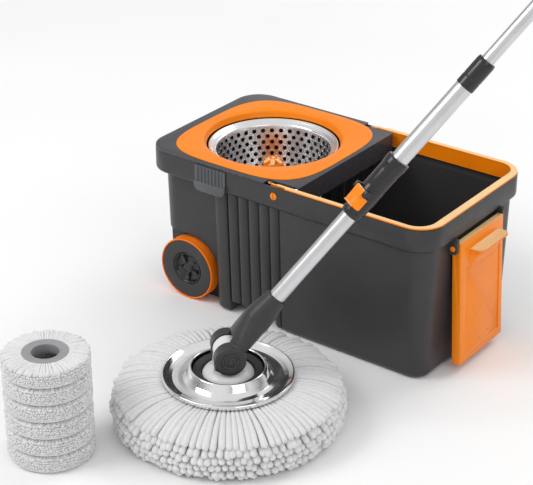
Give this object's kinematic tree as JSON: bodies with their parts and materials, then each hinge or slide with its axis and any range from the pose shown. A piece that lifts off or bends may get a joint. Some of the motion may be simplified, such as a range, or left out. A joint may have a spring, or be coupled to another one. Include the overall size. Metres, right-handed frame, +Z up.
{
  "type": "spin mop",
  "caption": "Wheeled mop bucket with a perforated spin basket, folding handles, a telescopic flat-pivot mop with a round microfibre head, and a stack of spare heads.",
  "frame": {"origin": "middle of the bucket's underside, on the floor", "axes": "+X along the bucket from the wheels to the wash end, +Y to the rear side, +Z up"},
  "size_m": [0.8712, 0.807, 1.0163],
  "materials": {
    "dark_plastic": "satin moulded dark grey",
    "deck_plastic": "glossy dark grey",
    "latch_plastic": "satin mid grey",
    "orange_plastic": "glossy orange",
    "orange_tread": "soft orange tread",
    "bright_steel": "polished",
    "plain_steel": "turned",
    "tube_metal": "drawn and polished",
    "white_plastic": "glossy white",
    "grey_plastic": "satin grey",
    "microfibre": "looped white microfibre"
  },
  "bodies": {
    "bucket": {"bucket_body": "dark_plastic", "bail_pin_front": "orange_plastic", "bail_pin_rear": "orange_plastic", "tow_pin_front": "orange_plastic", "tow_pin_rear": "orange_plastic", "axle_front": "plain_steel", "axle_rear": "plain_steel"},
    "deck": {"deck_cover": "deck_plastic", "deck_trim": "orange_plastic", "basket_carrier": "dark_plastic", "carrier_bush": "white_plastic", "basket_axle": "plain_steel", "basket_retainer": "plain_steel"},
    "spin_basket": {"basket": "bright_steel", "basket_hub": "orange_plastic"},
    "front_latch": {"latch_front": "latch_plastic"},
    "rear_latch": {"latch_rear": "latch_plastic"},
    "bail": {"bail_handle": "orange_plastic"},
    "tow": {"tow_handle": "orange_plastic"},
    "front_wheel": {"wheel_front_tyre": "orange_tread", "wheel_front_hub": "dark_plastic", "wheel_front_cap": "dark_plastic"},
    "rear_wheel": {"wheel_rear_tyre": "orange_tread", "wheel_rear_hub": "dark_plastic", "wheel_rear_cap": "dark_plastic"},
    "lower_handle": {"yoke": "dark_plastic", "lower_tube": "tube_metal", "yoke_pin": "dark_plastic"},
    "upper_handle": {"lock_collar": "dark_plastic", "tube_bush": "white_plastic", "middle_tube": "tube_metal", "coupling_collar": "dark_plastic", "upper_tube": "tube_metal", "grip": "dark_plastic", "end_cap": "orange_plastic", "twist_rod": "plain_steel", "rod_anchor": "white_plastic", "lever_pin": "plain_steel"},
    "lever": {"lock_lever": "orange_plastic"},
    "nut": {"clutch_nut": "white_plastic"},
    "pivot_base": {"pivot_lug": "white_plastic", "swivel_ring": "plain_steel"},
    "mop_head": {"dish": "bright_steel", "clip_plate": "dark_plastic", "mop_fibre": "microfibre", "mop_ring": "grey_plastic"},
    "spare_1": {"refill_fibre_1": "microfibre", "refill_ring_1": "grey_plastic"},
    "spare_2": {"refill_fibre_2": "microfibre", "refill_ring_2": "grey_plastic"},
    "spare_3": {"refill_fibre_3": "microfibre", "refill_ring_3": "grey_plastic"},
    "spare_4": {"refill_fibre_4": "microfibre", "refill_ring_4": "grey_plastic"},
    "spare_5": {"refill_fibre_5": "microfibre", "refill_ring_5": "grey_plastic"},
    "spare_6": {"refill_fibre_6": "microfibre", "refill_ring_6": "grey_plastic"}
  },
  "joints": [
    {"name": "deck_lift", "type": "slide", "parent": "bucket", "child": "deck", "axis": [0, 0, 1], "range_m": [0, 0.15]},
    {"name": "basket_spin", "type": "hinge", "parent": "deck", "child": "spin_basket", "pos_m": [-0.1103, 0, 0.15], "axis": [0, 0, 1], "continuous": true},
    {"name": "front_latch_hinge", "type": "hinge", "parent": "deck", "child": "front_latch", "pos_m": [-0.1245, -0.1391, 0.2415], "axis": [-1, 0, 0], "range_deg": [0, 35]},
    {"name": "rear_latch_hinge", "type": "hinge", "parent": "deck", "child": "rear_latch", "pos_m": [-0.1245, 0.1391, 0.2415], "axis": [1, 0, 0], "range_deg": [0, 35]},
    {"name": "bail_hinge", "type": "hinge", "parent": "bucket", "child": "bail", "pos_m": [-0.0096, 0, 0.23], "axis": [0, -1, 0], "range_deg": [0, 90]},
    {"name": "tow_hinge", "type": "hinge", "parent": "bucket", "child": "tow", "pos_m": [0.249, 0, 0.197], "axis": [0, -1, 0], "range_deg": [0, 85]},
    {"name": "front_wheel_spin", "type": "hinge", "parent": "bucket", "child": "front_wheel", "pos_m": [-0.187, -0.111, 0.05], "axis": [0, 1, 0], "continuous": true},
    {"name": "rear_wheel_spin", "type": "hinge", "parent": "bucket", "child": "rear_wheel", "pos_m": [-0.187, 0.111, 0.05], "axis": [0, 1, 0], "continuous": true},
    {"name": "mop_lift", "type": "slide", "parent": "bucket", "child": "lower_handle", "axis": [0, 0, 1], "range_m": [0, 0.35]},
    {"name": "head_tilt", "type": "hinge", "parent": "lower_handle", "child": "pivot_base", "pos_m": [0.0739, -0.3529, 0.106], "axis": [0.7071, -0.7071, 0], "range_deg": [-122, 42]},
    {"name": "head_spin", "type": "hinge", "parent": "pivot_base", "child": "mop_head", "pos_m": [0.0739, -0.3529, 0.063], "axis": [0, 0, 1], "continuous": true},
    {"name": "handle_press", "type": "slide", "parent": "lower_handle", "child": "upper_handle", "axis": [0.4555, 0.4555, 0.7649], "range_m": [-0.09, 0.08]},
    {"name": "clutch_turn", "type": "hinge", "parent": "lower_handle", "child": "nut", "pos_m": [0.0739, -0.3529, 0.106], "axis": [0.4555, 0.4555, 0.7649], "range_deg": [-361, 406]},
    {"name": "lock_lever_hinge", "type": "hinge", "parent": "upper_handle", "child": "lever", "pos_m": [0.20299, -0.23535, 0.33957], "axis": [-0.8714, 0.404, 0.2783], "range_deg": [0, 50]},
    {"name": "spare_1_lift", "type": "slide", "parent": "bucket", "child": "spare_1", "axis": [0, 0, 1], "range_m": [0, 0.1]},
    {"name": "spare_2_lift", "type": "slide", "parent": "spare_1", "child": "spare_2", "axis": [0, 0, 1], "range_m": [0, 0.1]},
    {"name": "spare_3_lift", "type": "slide", "parent": "spare_2", "child": "spare_3", "axis": [0, 0, 1], "range_m": [0, 0.1]},
    {"name": "spare_4_lift", "type": "slide", "parent": "spare_3", "child": "spare_4", "axis": [0, 0, 1], "range_m": [0, 0.1]},
    {"name": "spare_5_lift", "type": "slide", "parent": "spare_4", "child": "spare_5", "axis": [0, 0, 1], "range_m": [0, 0.1]},
    {"name": "spare_6_lift", "type": "slide", "parent": "spare_5", "child": "spare_6", "axis": [0, 0, 1], "range_m": [0, 0.1]}
  ],
  "couplings": [
    {"joint": "clutch_turn", "follows": "handle_press", "rad_per_m": -78.54}
  ]
}
